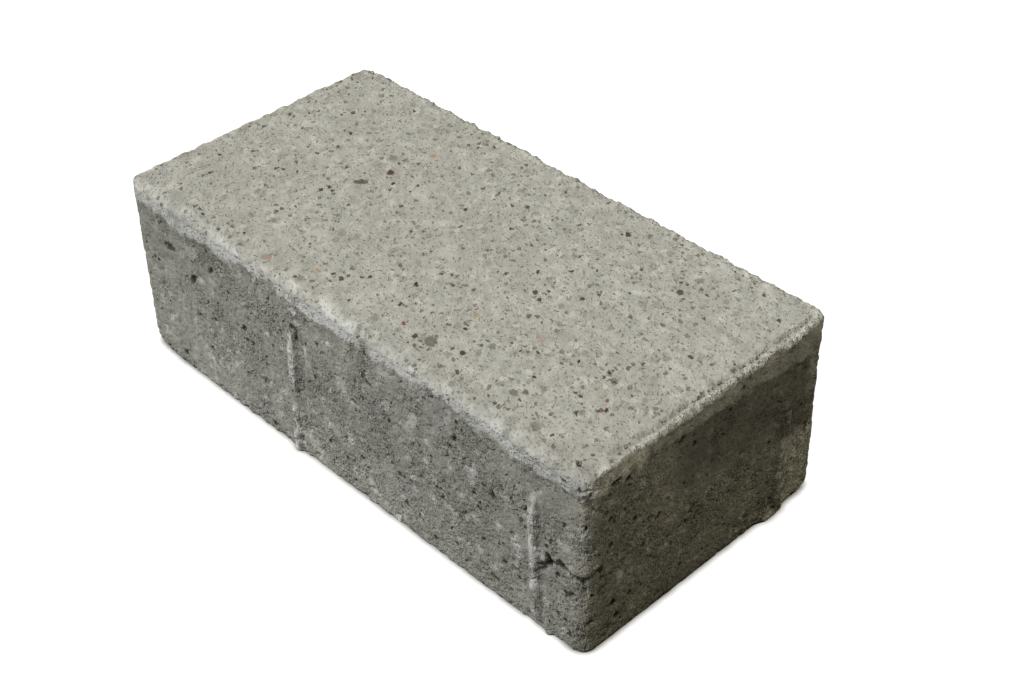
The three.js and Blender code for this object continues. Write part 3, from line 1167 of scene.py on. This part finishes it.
def spot_group():
    """Round patch about a centre."""
    graph, given, result = new_group("Spot", ("Position", "Centre", "Radius"), ("Mask",))
    apart = graph.vector("DISTANCE", given["Position"], given["Centre"])
    part = graph.math("DIVIDE", apart, given["Radius"])
    graph.feed(result["Mask"], graph.step(part, 1.15, 0.75, 0.0, 0.92))
    return graph.tree


def spot_centre(face, along, up):
    """Place of a spot just under its face, squeezed like the patterns on it, mm."""
    if face == TOP:
        place = (along, up, HEIGHT - BELOW_TOP)
    else:
        rightward = RIGHTWARD[face]
        outward = rightward[::-1] * (1, -1)
        reach = (HALF_LENGTH - BEHIND_SIDE, HALF_WIDTH - BEHIND_SIDE)
        place = (*(rightward * along + outward * reach), up)
    return tuple(squeezed(np.array([place]))[0])


# ---- Concrete --------------------------------------------------------------

# Noise that makes the outlines of grains ragged: size and amount.
RAGGED = (1.1, 1.5)

# Scattered grains: cell of the scatter, radius and, where it is even, share.
DOTS = (0.8, 0.42)
SPECKS = (2.2, 0.86)
SAND = (2.3, 1.7, 0.8)
PEBBLES = (6.2, 1.8, 0.2)

# Colours of the wearing layer's parts, besides the settings.
PALE_PASTE = (0.485, 0.485, 0.455)
WARM_PASTE = (0.355, 0.336, 0.305)
PALE_SAND, DARK_SAND = (0.58, 0.58, 0.545), (0.225, 0.222, 0.202)
FAINT_DOT = (0.155, 0.148, 0.125)
GREY_PEBBLE, BROWN_PEBBLE = (0.16, 0.16, 0.15), (0.30, 0.252, 0.21)
DARK_SPECK, FAINT_SPECK = (0.045, 0.043, 0.035), (0.205, 0.192, 0.162)

# Colours of the backing's parts.
PALE_BACKING = (0.385, 0.381, 0.344)
COOL_BACKING = (0.235, 0.238, 0.25)
OPEN_GRIT = (0.13, 0.128, 0.112)
PALE_GRAIN = (0.43, 0.426, 0.39)
DARK_DOT, PALE_DOT = (0.07, 0.067, 0.055), (0.50, 0.496, 0.455)
# Near-black open pores: painted shade in pores too fine for the mesh.
OPEN_PORE = (0.045, 0.043, 0.034)

# Pores in the lime bloom, and the near-black of the pore field: painted shade in the pores, creases
# and cracks of the mesh, and dirt on the flash.
BLOOM_PORE = (0.16, 0.158, 0.142)
PORE_SHADE_AND_DIRT = (0.03, 0.028, 0.022)


class ConcreteMaterial:
    """Builds the one concrete material of the stone, with all lengths in mm."""

    def __init__(self, colours):
        self.colours = colours
        self.material = bpy.data.materials.new("Pressed Concrete")
        self.material.use_nodes = True
        self.graph = Graph(self.material.node_tree)
        self.spot = spot_group()
        self.lay_patterns()
        layer = self.graph.blend(self.face, self.backing(), self.wearing_layer())
        shader = self.material.node_tree.nodes["Principled BSDF"]
        self.graph.feed(shader.inputs["Base Color"], self.with_bloom_tones_and_shade(self.with_spots(layer)))
        self.graph.feed(shader.inputs["Normal"], self.fine_relief())
        shader.inputs["Roughness"].default_value = 0.95
        shader.inputs["Specular IOR Level"].default_value = 0.2

    def lay_patterns(self):
        """Noises and scattered grains that the layers share."""
        graph = self.graph
        scatter = scatter_group()
        metres = graph.add("ShaderNodeTexCoord").outputs["Object"]
        self.level = graph.vector("MULTIPLY", metres, (1 / MM, 1 / MM, 1 / MM))
        along_slant = graph.vector("DOT_PRODUCT", self.level, SLANT)
        shift = graph.vector("SCALE", tuple(-SQUEEZE * SLANT), along_slant)
        place = graph.vector("ADD", self.level, shift)
        self.ragged = graph.group(ragged_group(), place, *RAGGED)[0]
        self.grit = graph.noise(place, 0.45, 1.0)
        self.fine = graph.noise(place, 1.0)
        self.soft = graph.noise(place, 3.6, 3.0)
        self.wide = graph.noise(place, 16.0, 1.0)
        self.crowd = graph.field("crowd")
        dots = (*DOTS, graph.times(self.crowd, 1.6))
        self.dot, self.dot_tone = graph.group(scatter, self.ragged, *dots)
        self.speck, self.speck_tone = graph.group(scatter, self.ragged, *SPECKS, self.crowd)
        self.grain, self.grain_tone = graph.group(scatter, self.ragged, *SAND)
        self.pebble, self.pebble_tone = graph.group(scatter, self.ragged, *PEBBLES)
        open_skin = graph.step(self.crowd, 0.05, 0.40, 0.35, 1.0)
        self.open_skin = graph.times(open_skin, graph.field("coarse"))
        wander = graph.line(self.soft, 13.0, -6.5)
        self.face = graph.step(graph.math("ADD", graph.field("layer"), wander), -1.8, 1.5)

    def cover(self, colour, *layers):
        """Lays one colour after another over the first, each through its mask."""
        for mask, over in layers:
            colour = self.graph.blend(mask, colour, over)
        return colour

    def wearing_layer(self):
        """Fine paste with grains of sand, pebbles and dark specks."""
        graph, step = self.graph, self.graph.step
        sand = graph.blend(self.grain_tone, PALE_SAND, DARK_SAND)
        faint = graph.times(self.dot, step(self.dot_tone, 0.9, 0.1, 0.0, 0.75))
        pebble = graph.blend(self.pebble_tone, GREY_PEBBLE, BROWN_PEBBLE)
        speck = graph.blend(step(self.speck_tone, 0.0, 0.55), DARK_SPECK, FAINT_SPECK)
        return self.cover(
            self.colours.face_patch,
            (step(self.soft, 0.36, 0.64), self.colours.face_mix),
            (step(self.fine, 0.36, 0.64, 0.0, 0.55), PALE_PASTE),
            (step(self.wide, 0.42, 0.60, 0.0, 0.25), WARM_PASTE),
            (graph.times(self.grain, 0.62), sand),
            (faint, FAINT_DOT),
            (graph.times(self.pebble, 0.7), pebble),
            (graph.times(self.speck, 0.9), speck),
        )

    def backing(self):
        """Greyer paste with fine open pores and pale grains."""
        times, step = self.graph.times, self.graph.step
        gritty = times(self.open_skin, step(self.grit, 0.62, 0.34, 0.0, 0.62))
        return self.cover(
            self.colours.backing_patch,
            (step(self.soft, 0.36, 0.64), self.colours.backing),
            (step(self.fine, 0.36, 0.64, 0.0, 0.55), PALE_BACKING),
            (gritty, OPEN_GRIT),
            (step(self.wide, 0.58, 0.70, 0.0, 0.25), COOL_BACKING),
            (times(self.grain, step(self.grain_tone, 0.72, 0.92, 0.0, 0.6)), PALE_GRAIN),
            (times(self.dot, step(self.dot_tone, 0.75, 0.2, 0.0, 0.8)), DARK_DOT),
            (times(self.dot, step(self.dot_tone, 0.75, 1.0, 0.0, 0.8)), PALE_DOT),
            (times(self.speck, step(self.speck_tone, 0.75, 0.4, 0.0, 0.9)), OPEN_PORE),
        )

    def with_spots(self, colour):
        """Adds the single grains that show by their colour."""
        for face, rows in SPOTS.items():
            for along, up, radius, grain in rows:
                centre = spot_centre(face, along, up)
                mask = self.graph.group(self.spot, self.ragged, centre, radius)[0]
                colour = self.cover(colour, (mask, grain))
        return colour

    def with_bloom_tones_and_shade(self, colour):
        """Lime bloom, broken up by the pores, then broad tones with their painted light and shade,
        then the painted shade and dirt of the pore field.
        """
        graph, times = self.graph, self.graph.times
        uneven = graph.line(self.soft, 3.2, -1.7)
        lime = graph.step(graph.math("ADD", graph.field("bloom"), uneven), 0.1, 1.0)
        lime = times(lime, graph.step(self.fine, 0.68, 0.40, 0.68, 0.98))
        dots = times(graph.math("MAXIMUM", self.dot, self.speck), times(lime, 0.55))
        colour = self.cover(colour, (lime, self.colours.bloom), (dots, BLOOM_PORE))
        # Broad tones, with their painted light and shade.
        colour = graph.vector("SCALE", colour, graph.field("tone"))
        # Near-black of the pore field: painted shade in pores, creases and cracks, and dirt on the
        # flash.
        torn = times(graph.field("pore"), graph.line(self.grit, 2.4, -0.2))
        return self.cover(colour, (graph.step(torn, 0.12, 0.75, 0.0, 0.88), PORE_SHADE_AND_DIRT))

    def fine_relief(self):
        """Normal with the sand and pores that are too fine for the mesh."""
        graph, step = self.graph, self.graph.step
        strokes = graph.noise(graph.vector("MULTIPLY", self.level, (1.0, 1.0, 0.3)), 0.5, 1.0)
        sandy = graph.math("ADD", self.fine, graph.line(self.grit, 0.6, -0.8))
        sandy = graph.math("ADD", sandy, graph.line(strokes, 0.8, -0.4))
        beside = step(graph.field("layer"), WEARING_LAYER - 0.1, CRUMBLED_LAYER)
        sandy = graph.times(sandy, graph.times(self.open_skin, step(beside, 0.0, 1.0, 0.14, 0.6)))
        pits = graph.math("MULTIPLY_ADD", self.dot, 0.28, graph.times(self.speck, 0.4))
        height = graph.math("MULTIPLY_ADD", pits, step(beside, 0.0, 1.0, -0.5, -1.0), sandy)
        inputs = {"Height": height, "Distance": MM, "Strength": 1.0}
        return graph.add("ShaderNodeBump", inputs).outputs[0]


# ---- Operators -------------------------------------------------------------


class PAVING_OT_build_stone(bpy.types.Operator):
    """Build the paving stone with its relief and concrete"""

    bl_idname = "paving.build_stone"
    bl_label = "Build Stone"

    def execute(self, context):
        shape = context.scene.paving_shape
        gap = shape.joint_gap / MM
        block = LatticeBlock(
            HALF_LENGTH - gap,
            HALF_WIDTH - gap,
            HEIGHT,
            shape.corner_radius / MM,
            shape.fine_pitch / MM,
            shape.coarse_pitch / MM,
        )
        relief = Relief(block, Noise(shape.seed), shape.roughness)
        relief.build()
        mesh = quad_mesh("stone_body", relief.points(), block.faces)
        for name, values in relief.fields().items():
            store_field(mesh, name, values)
        stone = bpy.data.objects.new("stone_body", mesh)
        context.collection.objects.link(stone)
        mesh = thin_mesh(stone, shape.triangle_count)
        keep_in_box(mesh)
        lay_charts(mesh)
        mesh.shade_smooth()
        mesh.materials.append(ConcreteMaterial(context.scene.paving_colours).material)
        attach(stone, BODY)
        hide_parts(NODE)
        return {"FINISHED"}


# ---- Stage -----------------------------------------------------------------

# Camera's right, up and backward directions in the stone's frame.
CAMERA_AXES = (
    (0.6996667, 0.7143969, -0.0101811),
    (-0.4380331, 0.4401718, 0.7838213),
    (0.5644409, -0.5439540, 0.6209030),
)
SENSOR_WIDTH = 36.0

# Lamps: direction towards the lamp, angle across it and colour.
KEY = ((-0.33, -0.66, 0.70), 0.7, (0.985, 0.995, 1.0))
FILL = ((0.36, 0.12, 0.92), 0.3, (1.0, 0.90, 0.62))
EVEN_COLOUR = (1.0, 0.90, 0.70)
WHITE = (1.0, 1.0, 1.0)

FLOOR_REACH = 4.0
FLOOR_COLOUR = (0.24, 0.235, 0.21)
SHADOW_REACH = 2.1 * MM  # of the dark line where the stone meets the floor
SHADOW_SLOPE, SHADOW_START = 1.4, -0.42  # floor's own light by how open it is


def link_object(name, data):
    """Object of the data, in the scene's collection."""
    item = bpy.data.objects.new(name, data)
    bpy.context.collection.objects.link(item)
    return item


def add_camera(stage):
    """Camera at its place, with its axes as set above."""
    data = bpy.data.cameras.new("Camera")
    data.lens = stage.lens
    data.sensor_width = SENSOR_WIDTH
    camera = link_object("Camera", data)
    turn = Matrix(CAMERA_AXES).transposed().to_4x4()
    camera.matrix_world = Matrix.Translation(stage.camera_place) @ turn
    bpy.context.scene.camera = camera


def add_floor():
    """Pale floor that shows white to the camera and keeps the stone's shadow."""
    signs = ((-1, -1), (1, -1), (1, 1), (-1, 1))
    corners = [(x * FLOOR_REACH, y * FLOOR_REACH, 0) for x, y in signs]
    mesh = bpy.data.meshes.new("Floor")
    mesh.from_pydata(corners, [], [(0, 1, 2, 3)])
    floor = link_object("Floor", mesh)
    material = bpy.data.materials.new("Studio Floor")
    material.use_nodes = True
    graph = Graph(material.node_tree)
    graph.tree.nodes.clear()
    matt = graph.add("ShaderNodeBsdfDiffuse", {"Color": FLOOR_COLOUR}).outputs[0]
    openness = graph.add("ShaderNodeAmbientOcclusion", {"Distance": SHADOW_REACH}, samples=8)
    inputs = {"Strength": graph.line(openness.outputs["AO"], SHADOW_SLOPE, SHADOW_START)}
    glow = graph.add("ShaderNodeEmission", inputs).outputs[0]
    both = graph.add("ShaderNodeAddShader", {0: matt, 1: glow}).outputs[0]
    to_camera = graph.add("ShaderNodeLightPath").outputs["Is Camera Ray"]
    seen = graph.add("ShaderNodeMixShader", {0: to_camera, 1: matt, 2: both}).outputs[0]
    graph.add("ShaderNodeOutputMaterial", {"Surface": seen})
    mesh.materials.append(material)


def add_lamp(name, level, towards, angle, colour):
    """Distant lamp with soft edges, which shines from one direction."""
    data = bpy.data.lights.new(name, "SUN")
    data.energy = level
    data.angle = angle
    data.color = colour
    lamp = link_object(name, data)
    lamp.rotation_euler = Vector(towards).to_track_quat("Z", "Y").to_euler()


def add_lights(stage):
    """Soft lamp from the front left, a warm one, and even light from all round."""
    add_lamp("Key", stage.key_level, *KEY)
    add_lamp("Fill", stage.fill_level, *FILL)
    world = bpy.data.worlds.new("Studio")
    world.use_nodes = True
    graph = Graph(world.node_tree)
    graph.tree.nodes.clear()
    white = graph.add("ShaderNodeBackground", {"Color": WHITE}).outputs[0]
    inputs = {"Color": EVEN_COLOUR, "Strength": stage.even_level}
    even = graph.add("ShaderNodeBackground", inputs).outputs[0]
    to_camera = graph.add("ShaderNodeLightPath").outputs["Is Camera Ray"]
    mixed = graph.add("ShaderNodeMixShader", {0: to_camera, 1: even, 2: white}).outputs[0]
    graph.add("ShaderNodeOutputWorld", {"Surface": mixed})
    bpy.context.scene.world = world


class PAVING_OT_set_stage(bpy.types.Operator):
    """Set the camera, lamps and floor"""

    bl_idname = "paving.set_stage"
    bl_label = "Set Stage"

    def execute(self, context):
        stage = context.scene.paving_stage
        add_camera(stage)
        add_floor()
        add_lights(stage)
        context.scene.view_settings.view_transform = "Standard"
        return {"FINISHED"}


class PAVING_PT_panel(bpy.types.Panel):
    """Lists the settings and the steps that build the stone"""

    bl_label = "Paving Stone"
    bl_space_type = "VIEW_3D"
    bl_region_type = "UI"
    bl_category = "Paving Stone"

    def draw(self, context):
        layout, scene = self.layout, context.scene
        for settings in (scene.paving_shape, scene.paving_colours, scene.paving_stage):
            column = layout.column()
            for name in type(settings).__annotations__:
                column.prop(settings, name)
        layout.operator(PAVING_OT_build_stone.bl_idname)
        layout.operator(PAVING_OT_set_stage.bl_idname)


CLASSES = (
    StoneShapeSettings,
    StoneColourSettings,
    StageSettings,
    PAVING_OT_build_stone,
    PAVING_OT_set_stage,
    PAVING_PT_panel,
)


def register():
    for cls in CLASSES:
        bpy.utils.register_class(cls)
    bpy.types.Scene.paving_shape = PointerProperty(type=StoneShapeSettings)
    bpy.types.Scene.paving_colours = PointerProperty(type=StoneColourSettings)
    bpy.types.Scene.paving_stage = PointerProperty(type=StageSettings)


def unregister():
    del bpy.types.Scene.paving_stage
    del bpy.types.Scene.paving_colours
    del bpy.types.Scene.paving_shape
    for cls in reversed(CLASSES):
        bpy.utils.unregister_class(cls)


def main():
    register()
    bpy.ops.paving.build_stone()
    bpy.ops.paving.set_stage()


if __name__ == "__main__":
    main()
